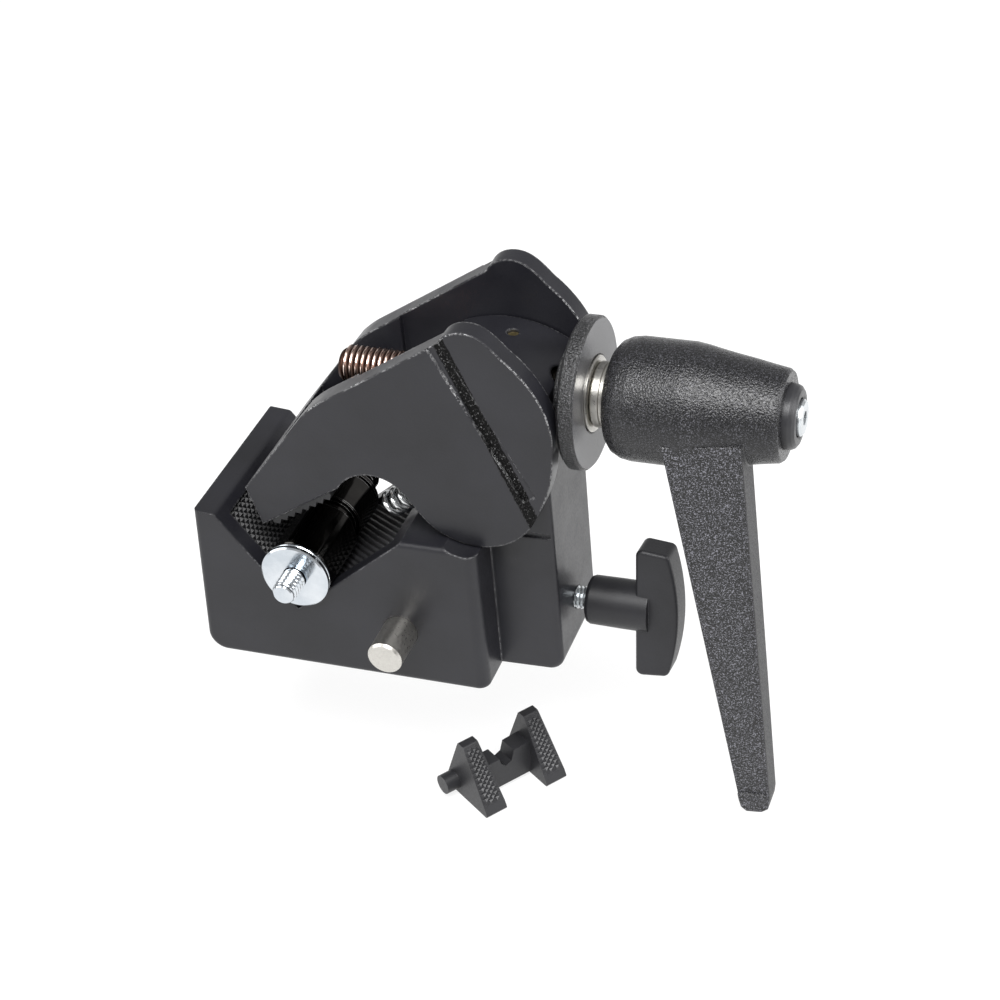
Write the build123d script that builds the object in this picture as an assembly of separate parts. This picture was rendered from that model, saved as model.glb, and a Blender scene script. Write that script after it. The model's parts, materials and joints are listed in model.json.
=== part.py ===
from build123d import *
import math
import os

os.makedirs("parts", exist_ok=True)

# Super clamp, drawn in millimetres.
# X runs along the clamping screw towards the handle, Y from the pin side to the back, Z up.
# The origin is on the axis of the stand socket, on the underside of the body.

# ---- driving dimensions -------------------------------------------------------------
FIT = 0.05                 # radial clearance of a pin or a let-in piece

BODY_HALF_WIDTH = 25.0
BODY_LEFT_X = -66.0
BODY_LEFT_TOP = (-63.5, 44.5)
VEE_LEFT_TOP = (-57.8, 44.0)
VEE_BOTTOM = (-38.2, 17.8)
VEE_RIGHT_TOP = (-8.0, 43.0)
BODY_STEP_X = 11.5

TONGUE_HALF_WIDTH = 14.2
TONGUE_LEFT_X = -1.0
TONGUE_RIGHT_X = 28.1
TONGUE_RADIUS = 29.0
TONGUE_GROOVE_Z = 43.0

PIVOT = (10.5, 59.0)       # the point the movable jaw rocks about, as X and Z
TONGUE_CENTRE = (10.5, 58.0)
JAW_ROUND_RADIUS = 17.2
TROUGH_RADIUS = 17.6

SOCKET_FLATS = 16.1
SOCKET_DEPTH = 33.0

PAD_FROM = 3.0
LEFT_PAD_TO = 29.5
RIGHT_PAD_TO = 34.0
PAD_HALF_WIDTH = 20.0
PAD_RECESS = 2.6
PAD_THICKNESS = 1.8

SCREW_Z = 77.0
SCREW_RADIUS = 5.0
SCREW_PITCH = 1.5
SCREW_RUNNING_RADIUS = SCREW_RADIUS + 0.1
SCREW_HOLE_RADIUS = 5.5
NUT_X = 12.0
NUT_RADIUS = 8.0
NUT_BORE = 5.07
NUT_LOCK = (14.0, 7.5)     # where the small brass pin stands, as X and Y

CHEEK_INNER = 14.7
CHEEK_OUTER = 20.0
CHEEK_THICK_INNER = 13.5
CHEEK_THICK_TO_X = -18.0
CAM_TRAVEL = 16.0          # screw travel for each radian the jaw swings
CAM_BASE = 21.6            # reach of the cheek backs in front of the pivot, jaw at rest

PIN_X = -10.5
PIN_Z = 15.6
PIN_RADIUS = 4.5
PIN_WELL_RADIUS = 6.1      # the wider bore behind it that holds the spring

KNOB_Z = 14.5
KNOB_SCREW_RADIUS = 2.95
KNOB_TURN = 9.0            # where the T-bar stands, in degrees off upright

STUD_X = -36.3
STUD_Z = 30.2
STUD_FLATS = 16.0
STUD_THREAD_RADIUS = 3.175
REAR_THREAD_RADIUS = 4.76

LEVER_TIP_Z = -44.7


# ---- helpers ------------------------------------------------------------------------
def xz_prism(face, y0, y1):
    """A face drawn as X and Z, filled from y0 to y1."""
    return extrude(Plane.XZ.offset(-y1) * face, y1 - y0, dir=(0, -1, 0))


def outline(*points):
    return make_face(Polyline(*points, close=True))


def rod_x(radius, x0, x1, y=0.0, z=0.0):
    plane = Plane(origin=(x0, y, z), x_dir=(0, 1, 0), z_dir=(1, 0, 0))
    return extrude(plane * Circle(radius), x1 - x0)


def rod_y(radius, y0, y1, x=0.0, z=0.0):
    plane = Plane(origin=(x, y0, z), x_dir=(1, 0, 0), z_dir=(0, 1, 0))
    return extrude(plane * Circle(radius), y1 - y0)


def box(x0, x1, y0, y1, z0, z1):
    centre = Pos((x0 + x1) / 2, (y0 + y1) / 2, (z0 + z1) / 2)
    return centre * Box(x1 - x0, y1 - y0, z1 - z0)


def turned_x(profile, y=0.0, z=0.0):
    """A closed outline of X and radius, turned about an X axis."""
    face = Plane.XY * make_face(Polyline(*profile, close=True))
    return Pos(0, y, z) * revolve(face, Axis.X)


def turned_y(profile, x=0.0, z=0.0):
    """A closed outline of Y and radius, turned about a Y axis."""
    points = [(radius, y) for y, radius in profile]
    face = Plane.XY * make_face(Polyline(*points, close=True))
    return Pos(x, 0, z) * revolve(face, Axis.Y)


def along(start, direction, distance, off, normal):
    return (
        start[0] + direction[0] * distance + normal[0] * off,
        start[1] + direction[1] * distance + normal[1] * off,
    )


def unit(a, b):
    length = math.hypot(b[0] - a[0], b[1] - a[1])
    return ((b[0] - a[0]) / length, (b[1] - a[1]) / length)


def about_pivot(radius, degrees):
    a = math.radians(degrees)
    return (PIVOT[0] + radius * math.cos(a), PIVOT[1] + radius * math.sin(a))


def toothed_face(root, tip, count, start=0.0):
    """A gear-like face with straight-sided teeth."""
    points = []
    step = 360.0 / count
    for i in range(count):
        for share, radius in ((0.0, root), (0.25, root), (0.45, tip), (0.8, tip)):
            a = math.radians(start + (i + share) * step)
            points.append((radius * math.cos(a), radius * math.sin(a)))
    return outline(*points)


def coil(radius, wire, pitch, length):
    """A round-wire coil standing on the XY plane along Z."""
    path = Helix(pitch=pitch, height=length - 2 * wire, radius=radius)
    section = Plane(origin=path @ 0, z_dir=path % 0) * Circle(wire)
    return Pos(0, 0, wire) * sweep(section, path=path)


LEFT_WALL = unit(VEE_BOTTOM, VEE_LEFT_TOP)
LEFT_NORMAL = (LEFT_WALL[1], -LEFT_WALL[0])
RIGHT_WALL = unit(VEE_BOTTOM, VEE_RIGHT_TOP)
RIGHT_NORMAL = (-RIGHT_WALL[1], RIGHT_WALL[0])


def wall_block(direction, normal, start, end, low, high, gap=0.0):
    """A flat block on one wall of the V, from low to high off the wall."""
    corners = [
        along(VEE_BOTTOM, direction, start + gap, low, normal),
        along(VEE_BOTTOM, direction, end - gap, low, normal),
        along(VEE_BOTTOM, direction, end - gap, high, normal),
        along(VEE_BOTTOM, direction, start + gap, high, normal),
    ]
    half = PAD_HALF_WIDTH - gap
    return xz_prism(outline(*corners), -half, half)


# ---- body -------------------------------------------------------------------------
def body_casting():
    wide_outline = outline(
        (BODY_LEFT_X, 0),
        BODY_LEFT_TOP,
        VEE_LEFT_TOP,
        VEE_BOTTOM,
        VEE_RIGHT_TOP,
        (BODY_STEP_X, VEE_RIGHT_TOP[1]),
        (BODY_STEP_X, 0),
    )
    corners = wide_outline.vertices().sort_by(Axis.X)
    wide_outline = fillet(corners[0], 5.0)
    wide_outline = fillet(wide_outline.vertices().sort_by(Axis.X)[2:4], 1.5)
    wide = xz_prism(wide_outline, -BODY_HALF_WIDTH, BODY_HALF_WIDTH)
    uprights = wide.edges().filter_by(Axis.Z)
    wide = fillet(uprights.group_by(Axis.X)[-1], 3.0)
    for face in (wide.faces().sort_by(Axis.Y)[0], wide.faces().sort_by(Axis.Y)[-1]):
        wide = fillet(face.edges().filter_by(lambda e: e.length > 1.0), 1.4)

    trough = rod_y(TROUGH_RADIUS, -BODY_HALF_WIDTH - 1, BODY_HALF_WIDTH + 1, *PIVOT)
    wide -= trough
    wide -= wall_block(LEFT_WALL, LEFT_NORMAL, PAD_FROM, LEFT_PAD_TO, -PAD_RECESS, 1.0)
    wide -= wall_block(RIGHT_WALL, RIGHT_NORMAL, PAD_FROM, RIGHT_PAD_TO, -PAD_RECESS, 1.0)

    tongue_outline = outline(
        (TONGUE_LEFT_X, 2.0),
        (TONGUE_LEFT_X, 95.0),
        (TONGUE_RIGHT_X, 95.0),
        (TONGUE_RIGHT_X, 1.2),
        (BODY_STEP_X - 3.0, 0.6),
    )
    tongue = xz_prism(tongue_outline, -TONGUE_HALF_WIDTH, TONGUE_HALF_WIDTH)
    tongue &= rod_y(TONGUE_RADIUS, -20, 20, *TONGUE_CENTRE) + box(-30, 60, -20, 20, 0, PIVOT[1])
    foot = tongue.edges().filter_by(Axis.Y).sort_by(lambda e: e.center().X - e.center().Z)
    tongue = fillet(foot[-1], 4.0)
    rims = tongue.faces().filter_by(Axis.X).sort_by(Axis.X)[-1].edges().filter_by(Axis.Z)
    tongue = fillet(rims, 1.5)
    for side in (-1, 1):
        y = side * TONGUE_HALF_WIDTH
        groove = box(16.0, 27.4, y - 0.6, y + 0.6, TONGUE_GROOVE_Z - 0.7, TONGUE_GROOVE_Z + 0.7)
        tongue -= groove

    body = wide + tongue
    socket = RegularPolygon(SOCKET_FLATS / 2, 6, major_radius=False, rotation=30)
    body -= Pos(0, 0, -1) * extrude(socket, SOCKET_DEPTH + 1)
    lead_in = RegularPolygon(SOCKET_FLATS / 2 + 1.0, 6, major_radius=False, rotation=30)
    body -= loft([Pos(0, 0, 0) * lead_in, Pos(0, 0, 1.0) * socket])
    body -= rod_y(PIN_RADIUS + FIT, -30, 5, PIN_X, PIN_Z)
    body -= rod_y(PIN_WELL_RADIUS, 4.0, 30, PIN_X, PIN_Z)
    body -= rod_x(KNOB_SCREW_RADIUS + FIT, 0, 40, 0, KNOB_Z)
    body -= rod_x(SCREW_HOLE_RADIUS, -10, 40, 0, SCREW_Z)
    body -= rod_y(NUT_RADIUS + FIT, -20, 20, NUT_X, SCREW_Z)
    body -= Pos(NUT_LOCK[0], NUT_LOCK[1], 85) * Cylinder(1.5, 9)
    return body


def fixed_jaw_pad(direction, normal, end):
    low = -PAD_RECESS
    high = PAD_THICKNESS - PAD_RECESS
    return wall_block(direction, normal, PAD_FROM, end, low, high, FIT)


def screw_nut():
    barrel = rod_y(NUT_RADIUS, -13.9, 13.9, NUT_X, SCREW_Z)
    barrel -= rod_x(NUT_BORE, -10, 40, 0, SCREW_Z)
    return barrel - Pos(NUT_LOCK[0], NUT_LOCK[1], 85) * Cylinder(1.5, 7.6)


def nut_lock_pin():
    return Pos(NUT_LOCK[0], NUT_LOCK[1], 83.9) * Cylinder(1.45, 4.2)


def opening_spring():
    start = (-17.5, -9.0, 41.8)
    lean = math.degrees(math.atan2(10.0, 7.0))
    return Pos(*start) * Rot(0, lean, 0) * coil(3.0, 0.7, 2.6, 16.4)


# ---- movable jaw --------------------------------------------------------------------
NOSE_TOP = (-50.3, 50.2)
NOSE = (-47.0, 39.4)
JAW_FACE_END = (-24.8, 53.7)
BAND_TOP = (5.0, 97.0)     # the shallow band across each cheek
BAND_FOOT = (25.0, 58.0)
BAND_HALF_WIDTH = 1.8
BAND_DEPTH = 0.5


def cam_point(degrees):
    """Back of the cheek where its normal stands at this angle; it gives an even ratio."""
    a = math.radians(degrees)
    reach = CAM_BASE + CAM_TRAVEL * a
    return (
        PIVOT[0] + reach * math.cos(a) - CAM_TRAVEL * math.sin(a),
        PIVOT[1] + reach * math.sin(a) + CAM_TRAVEL * math.cos(a),
    )


def cheek_outline():
    round_from, round_low, round_to = (about_pivot(JAW_ROUND_RADIUS, a) for a in (216, 276, 336))
    cam = [cam_point(a) for a in range(-10, 51, 6)]
    edges = [
        Line(NOSE_TOP, NOSE),
        Line(NOSE, JAW_FACE_END),
        ThreePointArc(JAW_FACE_END, (-15.0, 58.8), (-6.8, 53.8)),
        Line((-6.8, 53.8), round_from),
        ThreePointArc(round_from, round_low, round_to),
        Spline(round_to, (29.4, 59.0), (31.0, 64.5), cam[0]),
        Spline(*cam),
        Spline(cam[-1], (18.0, 99.8), (14.6, 102.0), (10.6, 102.4), (5.6, 98.9)),
        Line((5.6, 98.9), (-25.2, 79.3)),
        Spline((-25.2, 79.3), (-28.4, 77.1), (-31.4, 74.4)),
        Line((-31.4, 74.4), NOSE_TOP),
    ]
    return make_face(edges)


def movable_jaw():
    cheek = cheek_outline()
    slab = xz_prism(cheek, -CHEEK_OUTER, CHEEK_OUTER)
    edge = unit(NOSE, JAW_FACE_END)
    up = (-edge[1], edge[0])
    inside = box(CHEEK_THICK_TO_X, 60, -CHEEK_INNER, CHEEK_INNER, 0, 120)
    slab -= inside
    window = outline(
        along(NOSE, edge, 8.5, 4.6, up),
        along(NOSE, edge, 60.0, 4.6, up),
        (10.0, 120.0),
        (-40.0, 120.0),
        (-42.0, 62.0),
    )
    slab -= xz_prism(window, -CHEEK_THICK_INNER, CHEEK_THICK_INNER)
    slab -= box(-28.0, 0, -7.5, 7.5, 30, 71)
    slab -= xz_prism(
        outline(
            along(NOSE, edge, 26.0, -9.0, up),
            along(NOSE, edge, 26.0, 4.7, up),
            (0.0, 70.0),
            (0.0, 40.0),
        ),
        -CHEEK_THICK_INNER,
        CHEEK_THICK_INNER,
    )
    band = unit(BAND_TOP, BAND_FOOT)
    across = (-band[1], band[0])
    strip = outline(
        along(BAND_TOP, band, -2.0, -BAND_HALF_WIDTH, across),
        along(BAND_TOP, band, 44.0, -BAND_HALF_WIDTH, across),
        along(BAND_TOP, band, 44.0, BAND_HALF_WIDTH, across),
        along(BAND_TOP, band, -2.0, BAND_HALF_WIDTH, across),
    )
    for y in (-CHEEK_OUTER, CHEEK_OUTER):
        slab -= xz_prism(strip, y - BAND_DEPTH, y + BAND_DEPTH)
    return slab


def movable_jaw_pad():
    """The gripping strip under the nose, its face cut in ridges."""
    edge = unit(NOSE, JAW_FACE_END)
    up = (-edge[1], edge[0])
    thick = 2.0
    tooth = 1.0
    pitch = 2.5
    first = 3.0
    count = 8
    points = [
        along(NOSE, edge, first + count * pitch, 0.0, up),
        along(NOSE, edge, first, 0.0, up),
        along(NOSE, edge, first, tooth - thick, up),
    ]
    for i in range(count):
        start = first + i * pitch
        points.append(along(NOSE, edge, start + pitch * 0.5, -thick, up))
        points.append(along(NOSE, edge, start + pitch, tooth - thick, up))
    return xz_prism(outline(*points), -CHEEK_OUTER + 0.3, CHEEK_OUTER - 0.3)


# ---- clamping screw and handle --------------------------------------------------------
FLANGE_X = 32.5
BOSS_X = 29.4
COLLAR_X = 37.4
GEAR_X = 50.0
LEVER_X = 40.7


def thrust_flange():
    profile = [
        (BOSS_X, SCREW_RUNNING_RADIUS), (BOSS_X, 10.6), (BOSS_X + 0.4, 11.0), (FLANGE_X, 11.0),
        (FLANGE_X, 17.9), (FLANGE_X + 0.8, 18.7), (36.0, 18.7), (36.6, 18.1),
        (36.6, 9.6), (36.2, 9.6), (36.2, SCREW_RUNNING_RADIUS),
    ]
    return turned_x(profile, z=SCREW_Z)


def thrust_washer():
    bore = SCREW_RUNNING_RADIUS
    profile = [(36.3, bore), (36.3, 9.3), (36.9, 9.3), (37.2, 9.0), (37.2, bore)]
    return turned_x(profile, z=SCREW_Z)


def main_screw():
    depth = 0.92
    profile = [(-28.4, 2.0), (-28.4, SCREW_RADIUS - depth), (-27.6, SCREW_RADIUS)]
    x = -27.6
    ridges = 17
    for i in range(ridges):
        x += SCREW_PITCH * 0.5
        profile.append((x, SCREW_RADIUS - depth))
        x += SCREW_PITCH * 0.5
        profile.append((x, SCREW_RADIUS))
    profile += [
        (GEAR_X, SCREW_RADIUS), (GEAR_X, 4.5), (78.5, 4.5), (78.5, 2.5), (64.0, 2.5),
        (64.0, 0.0), (-27.9, 0.0),
    ]
    return turned_x(profile, z=SCREW_Z)


def screw_collar():
    outer = 8.0
    bore = SCREW_RADIUS + FIT
    profile = [(COLLAR_X, bore), (COLLAR_X, outer - 0.4), (COLLAR_X + 0.4, outer)]
    for x in (39.4, 41.4, 43.4):
        profile += [(x, outer), (x + 0.2, outer - 0.35), (x + 0.6, outer - 0.35), (x + 0.8, outer)]
    profile += [(45.6, outer), (46.0, outer - 0.4), (46.0, bore)]
    return turned_x(profile, z=SCREW_Z)


def x_gear(face, x0, x1):
    plane = Plane(origin=(x0, 0, SCREW_Z), x_dir=(0, 1, 0), z_dir=(1, 0, 0))
    return extrude(plane * face, x1 - x0)


GEAR_TEETH = 20


def index_gear():
    gear = x_gear(toothed_face(6.2, 7.4, GEAR_TEETH), GEAR_X, GEAR_X + 4.8)
    return gear - rod_x(4.5 + FIT, 40, 70, 0, SCREW_Z)


def spring_washer():
    return rod_x(6.5, 78.5, 80.0, 0, SCREW_Z) - rod_x(2.6, 70, 90, 0, SCREW_Z)


def handle_end_screw():
    head = turned_x(
        [(80.05, 0), (80.05, 4.4), (86.9, 4.4), (87.4, 3.9), (87.4, 0)], z=SCREW_Z
    )
    hexagon = RegularPolygon(1.6, 6, major_radius=False, rotation=30)
    plane = Plane(origin=(84.4, 0, SCREW_Z), x_dir=(0, 1, 0), z_dir=(1, 0, 0))
    return head + rod_x(2.45, 66, 80.1, 0, SCREW_Z) - extrude(plane * hexagon, 5)


def hub_profile(bore_steps):
    outer = [
        (LEVER_X, 8.5), (LEVER_X + 0.3, 10.2), (LEVER_X + 1.0, 12.0), (LEVER_X + 2.3, 13.6),
        (45.0, 14.6), (47.5, 15.0), (60.0, 15.0), (63.0, 14.6), (66.5, 13.9), (70.6, 13.2),
        (74.5, 12.6), (79.0, 11.8), (82.7, 11.2), (83.5, 10.6),
    ]
    return outer + bore_steps


BLADE_FIELD_DEPTH = 0.5
BLADE_DRAFT = 7.0          # degrees the blade's faces turn to follow the hub's taper


def blade_layer(inset):
    """The leaning layer that the blade is cut from, the same amount thinner on each face."""
    section = outline(
        (-17.8 + inset, 76.0), (-8.6 - inset, 76.0), (-1.1 - inset, -50.0), (-8.3 + inset, -50.0),
    )
    plane = Plane(origin=(40, 0, 0), x_dir=(0, 1, 0), z_dir=(1, 0, 0))
    slant = math.tan(math.radians(BLADE_DRAFT))
    return extrude(plane * section, 60, dir=(1, slant, 0))


def handle_lever():
    bore = [
        (83.5, 7.9), (81.4, 7.9), (81.4, 7.0), (62.1, 7.0), (62.1, 10.6), (49.8, 10.6),
        (49.8, 8.3), (LEVER_X, 8.3),
    ]
    hub = turned_x(hub_profile(bore), z=SCREW_Z)
    blade_outline = outline(
        (56.9, 74.0), (70.3, -40.5), (70.8, -43.2), (72.2, LEVER_TIP_Z), (76.0, LEVER_TIP_Z),
        (77.8, -43.4), (78.3, -40.0), (75.6, 75.4),
    )
    blade = xz_prism(blade_outline, -20.0, 10.0) & blade_layer(0.0)
    rim = blade.edges().filter_by(lambda e: e.length > 60 and e.center().X > 70)
    blade = fillet(rim, 0.6)
    field = outline((50.0, 80.0), (69.0, -38.6), (77.6, -38.6), (74.9, 80.0))
    blade -= xz_prism(field, -20.0, 10.0) - blade_layer(BLADE_FIELD_DEPTH)
    core = rod_x(11.4, 40, 80, 0, SCREW_Z)
    return hub + (blade - core)


def handle_insert():
    sleeve = rod_x(10.5, GEAR_X, 62.0, 0, SCREW_Z)
    sleeve -= x_gear(toothed_face(6.3, 7.5, GEAR_TEETH), 49, GEAR_X + 10.0)
    return sleeve - rod_x(4.6, 49, 70, 0, SCREW_Z)


def handle_spring():
    plane = Plane(origin=(62.1, 0, SCREW_Z), x_dir=(0, 1, 0), z_dir=(1, 0, 0))
    return plane.location * coil(5.7, 0.6, 2.6, 16.2)


def handle_end_cap():
    profile = [
        (81.5, 4.7), (81.5, 7.8), (84.9, 7.8), (85.8, 7.4), (86.4, 6.6), (86.5, 5.3), (86.2, 4.7),
    ]
    return turned_x(profile, z=SCREW_Z)


# ---- locking screw and knob -------------------------------------------------------------
def knob_screw():
    depth = 0.45
    profile = [(9.4, 0.0), (9.4, 2.1), (10.2, KNOB_SCREW_RADIUS)]
    x = 27.0
    for i in range(5):
        profile.append((x, KNOB_SCREW_RADIUS))
        profile.append((x + 0.5, KNOB_SCREW_RADIUS - depth))
        x += 1.0
    profile += [(x, KNOB_SCREW_RADIUS), (44.0, KNOB_SCREW_RADIUS), (44.0, 0.0)]
    return turned_x(profile, z=KNOB_Z)


def t_knob():
    stem = turned_x(
        [
            (31.4, KNOB_SCREW_RADIUS + FIT), (31.4, 5.0), (31.8, 5.9), (32.6, 6.3), (40.0, 6.4),
            (48.0, 6.4), (48.0, 0.0), (44.05, 0.0), (44.05, KNOB_SCREW_RADIUS + FIT),
        ],
        z=KNOB_Z,
    )
    half = 18.0
    bar = make_face([
        Line((44.6, KNOB_Z - half), (44.6, KNOB_Z + half)),
        Line((44.6, KNOB_Z + half), (53.0, KNOB_Z + half - 0.8)),
        ThreePointArc(
            (53.0, KNOB_Z + half - 0.8), (55.6, KNOB_Z), (53.0, KNOB_Z - half + 0.8)
        ),
        Line((53.0, KNOB_Z - half + 0.8), (44.6, KNOB_Z - half)),
    ])
    bar = fillet(bar.vertices(), 1.8)
    head = xz_prism(bar, -4.2, 4.2)
    head = fillet(head.edges().filter_by(lambda e: e.length > 1.0 and abs(e.center().Y) > 4), 1.0)
    head = Pos(0, 0, KNOB_Z) * Rot(-KNOB_TURN, 0, 0) * Pos(0, 0, -KNOB_Z) * head
    return stem + head


# ---- lock pin ---------------------------------------------------------------------------
def lock_pin():
    pin = turned_y(
        [
            (-36.6, 0), (-36.6, 3.9), (-36.0, PIN_RADIUS), (6.0, PIN_RADIUS), (6.0, 0),
        ],
        PIN_X, PIN_Z,
    )
    pin -= box(PIN_X + 1.8, PIN_X + 6, -15.5, -4.5, PIN_Z - 6, PIN_Z + 6)
    groove = rod_y(6, 4.1, 5.3, PIN_X, PIN_Z) - rod_y(3.9, 4, 6, PIN_X, PIN_Z)
    return pin - groove


def lock_pin_clip():
    return rod_y(5.9, 4.15, 5.25, PIN_X, PIN_Z) - rod_y(3.95, 4, 6, PIN_X, PIN_Z)


def lock_pin_spring():
    plane = Plane(origin=(PIN_X, 6.05, PIN_Z), x_dir=(1, 0, 0), z_dir=(0, 1, 0))
    return plane.location * coil(4.2, 0.5, 2.9, 15.9)


def lock_pin_plug():
    return rod_y(PIN_WELL_RADIUS - FIT, 22.0, 24.8, PIN_X, PIN_Z)


# ---- stud --------------------------------------------------------------------------------
def stud():
    profile = [(-35.5, 0), (-35.5, 2.6), (-34.9, STUD_THREAD_RADIUS)]
    profile += [
        (-28.0, STUD_THREAD_RADIUS), (-28.0, 8.6), (-27.7, 9.0),
        (-26.8, 9.0), (-26.6, 8.8), (-26.6, 5.9), (-25.4, 5.9), (-25.4, 4.0), (-25.4, 0),
    ]
    front = turned_y(profile, STUD_X, STUD_Z)
    hexagon = RegularPolygon(STUD_FLATS / 2, 6, major_radius=False, rotation=40)
    shank = xz_prism(Pos(STUD_X, STUD_Z) * hexagon, -25.5, -7.0)
    shank &= turned_y(
        [(-25.5, 0), (-25.5, 8.1), (-25.0, 8.7), (-7.4, 8.7), (-7.0, 8.3), (-7.0, 0)],
        STUD_X, STUD_Z,
    )
    rear = turned_y(
        [
            (-7.1, 0), (-7.1, 6.5), (-3.0, 6.5), (-3.0, 7.6), (-2.7, 7.9), (7.6, 7.9), (8.0, 7.5),
            (8.4, 7.3), (8.6, 7.9), (9.7, 7.9), (10.0, 7.6), (10.0, REAR_THREAD_RADIUS),
            (19.3, REAR_THREAD_RADIUS), (20.0, 4.1), (20.0, 0),
        ],
        STUD_X, STUD_Z,
    )
    return front + shank + rear


def stud_washer():
    return turned_y(
        [(-26.55, 6.0), (-26.55, 8.7), (-26.3, 8.9), (-25.8, 8.9), (-25.55, 8.7), (-25.55, 6.0)],
        STUD_X, STUD_Z,
    )


# ---- loose wedge --------------------------------------------------------------------------
WEDGE_CORNER = (7.5, -24.6)
WEDGE_HEADING = 53.7
WEDGE_BASE = 20.5
WEDGE_TOP = 2.6
WEDGE_HEIGHT = 19.0
WEDGE_BLOCK = 6.4
WEDGE_BLOCK_TOP = 4.6
WEDGE_PITCH = 19.4


def wedge_insert():
    """Two triangular blocks joined by a web with a notch, and a round plug at one end."""
    slope = outline(
        (0, 0), (-(WEDGE_BASE - WEDGE_TOP) / 2, WEDGE_HEIGHT),
        (-(WEDGE_BASE + WEDGE_TOP) / 2, WEDGE_HEIGHT), (-WEDGE_BASE, 0),
    )
    flank = Plane(origin=(0, 0, 0), x_dir=(1, 0, 0), z_dir=(0, -1, 0))
    wedge = None
    for i in range(2):
        block = extrude(flank * slope, -WEDGE_BLOCK)
        trim = extrude(
            Plane.YZ.offset(-30) * outline(
                (0, 0), (WEDGE_BLOCK, 0), (WEDGE_BLOCK, 2.5), (WEDGE_BLOCK_TOP, WEDGE_HEIGHT),
                (0, WEDGE_HEIGHT),
            ),
            60,
        )
        block &= trim
        block = fillet(block.edges().filter_by(Axis.Y), 0.7)
        block = Pos(0, i * WEDGE_PITCH, 0) * block
        wedge = block if wedge is None else wedge + block
    web = extrude(
        Plane.YZ.offset(-13.0) * outline(
            (3.0, 1.2), (WEDGE_PITCH + 3, 1.2), (WEDGE_PITCH + 3, 11.5), (14.5, 11.0),
            (13.5, 8.0), (11.6, 7.2), (10.2, 8.6), (9.8, 10.4), (3.0, 10.4),
        ),
        5.5,
    )
    wedge += web
    plug = Plane(origin=(-15.0, 0.1, 4.2), x_dir=(1, 0, 0), z_dir=(0, -1, 0))
    wedge += extrude(plug * Circle(2.7), 4.1)
    turn = WEDGE_HEADING - 90.0
    return Pos(WEDGE_CORNER[0], WEDGE_CORNER[1], LEVER_TIP_Z) * Rot(0, 0, turn) * wedge


PIECES = {
    "body_casting": body_casting,
    "fixed_jaw_pad_left": lambda: fixed_jaw_pad(LEFT_WALL, LEFT_NORMAL, LEFT_PAD_TO),
    "fixed_jaw_pad_right": lambda: fixed_jaw_pad(RIGHT_WALL, RIGHT_NORMAL, RIGHT_PAD_TO),
    "screw_nut": screw_nut,
    "nut_lock_pin": nut_lock_pin,
    "opening_spring": opening_spring,
    "lock_pin_plug": lock_pin_plug,
    "movable_jaw": movable_jaw,
    "movable_jaw_pad": movable_jaw_pad,
    "thrust_flange": thrust_flange,
    "thrust_washer": thrust_washer,
    "main_screw": main_screw,
    "screw_collar": screw_collar,
    "index_gear": index_gear,
    "spring_washer": spring_washer,
    "handle_end_screw": handle_end_screw,
    "handle_spring": handle_spring,
    "handle_lever": handle_lever,
    "handle_insert": handle_insert,
    "handle_end_cap": handle_end_cap,
    "knob_screw": knob_screw,
    "t_knob": t_knob,
    "lock_pin": lock_pin,
    "lock_pin_clip": lock_pin_clip,
    "lock_pin_spring": lock_pin_spring,
    "stud": stud,
    "stud_washer": stud_washer,
    "wedge_insert": wedge_insert,
}

for name, make in PIECES.items():
    export_step(make(), f"parts/{name}.step")
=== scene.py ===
import json
import math

import bmesh
import bpy
from mathutils import Matrix, Vector


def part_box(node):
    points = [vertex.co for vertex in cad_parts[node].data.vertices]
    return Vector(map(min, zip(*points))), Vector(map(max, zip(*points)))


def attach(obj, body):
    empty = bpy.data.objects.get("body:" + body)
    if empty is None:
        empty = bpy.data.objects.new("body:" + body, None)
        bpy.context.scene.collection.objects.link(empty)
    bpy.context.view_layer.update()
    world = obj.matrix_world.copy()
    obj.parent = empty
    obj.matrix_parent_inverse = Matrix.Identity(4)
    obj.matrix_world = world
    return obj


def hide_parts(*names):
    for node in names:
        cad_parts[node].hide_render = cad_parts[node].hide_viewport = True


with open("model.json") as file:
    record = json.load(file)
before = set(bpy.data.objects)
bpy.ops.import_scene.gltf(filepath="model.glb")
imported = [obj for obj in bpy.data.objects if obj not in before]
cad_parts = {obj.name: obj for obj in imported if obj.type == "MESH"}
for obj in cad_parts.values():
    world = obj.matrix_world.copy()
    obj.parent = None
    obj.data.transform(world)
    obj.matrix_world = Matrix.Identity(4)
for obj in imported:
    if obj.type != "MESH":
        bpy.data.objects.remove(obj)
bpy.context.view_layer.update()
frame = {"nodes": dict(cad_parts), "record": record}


MM = 0.001
NODES = frame["nodes"]
BODY_OF = {n: b for b, ns in frame["record"]["behaviour"]["bodies"].items() for n in ns}
SLOT_OF = {s["node"]: s["material_slot"] for s in frame["record"]["subparts"]}

# Thread sizes, matching the CAD pieces that the threaded copies replace
MAIN_PITCH = 1.5 * MM
MAIN_DEPTH = 0.92 * MM
MAIN_CORE = 4.5 * MM
MAIN_CENTRE_HOLE = ((1.2 * MM, 0.4 * MM), (0.2 * MM, 1.6 * MM), (0.0, 1.9 * MM))
KNOB_PITCH = 1.0 * MM
KNOB_DEPTH = 0.55 * MM
STUD_FRONT_RADIUS = 3.175 * MM
STUD_FRONT_PITCH = 1.27 * MM
STUD_BACK_RADIUS = 4.76 * MM
STUD_BACK_PITCH = 1.59 * MM
STUD_BACK_LENGTH = 10.0 * MM
STUD_SHOULDER = 1.45 * MM
STUD_DEPTH_PER_PITCH = 0.34
THREAD_FLAT = 0.12
THREAD_RISE = 0.72
ROWS_PER_PITCH = 8
RUN_OUT_PITCHES = 0.75
MAIN_FACETS = 56
KNOB_FACETS = 36
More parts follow.
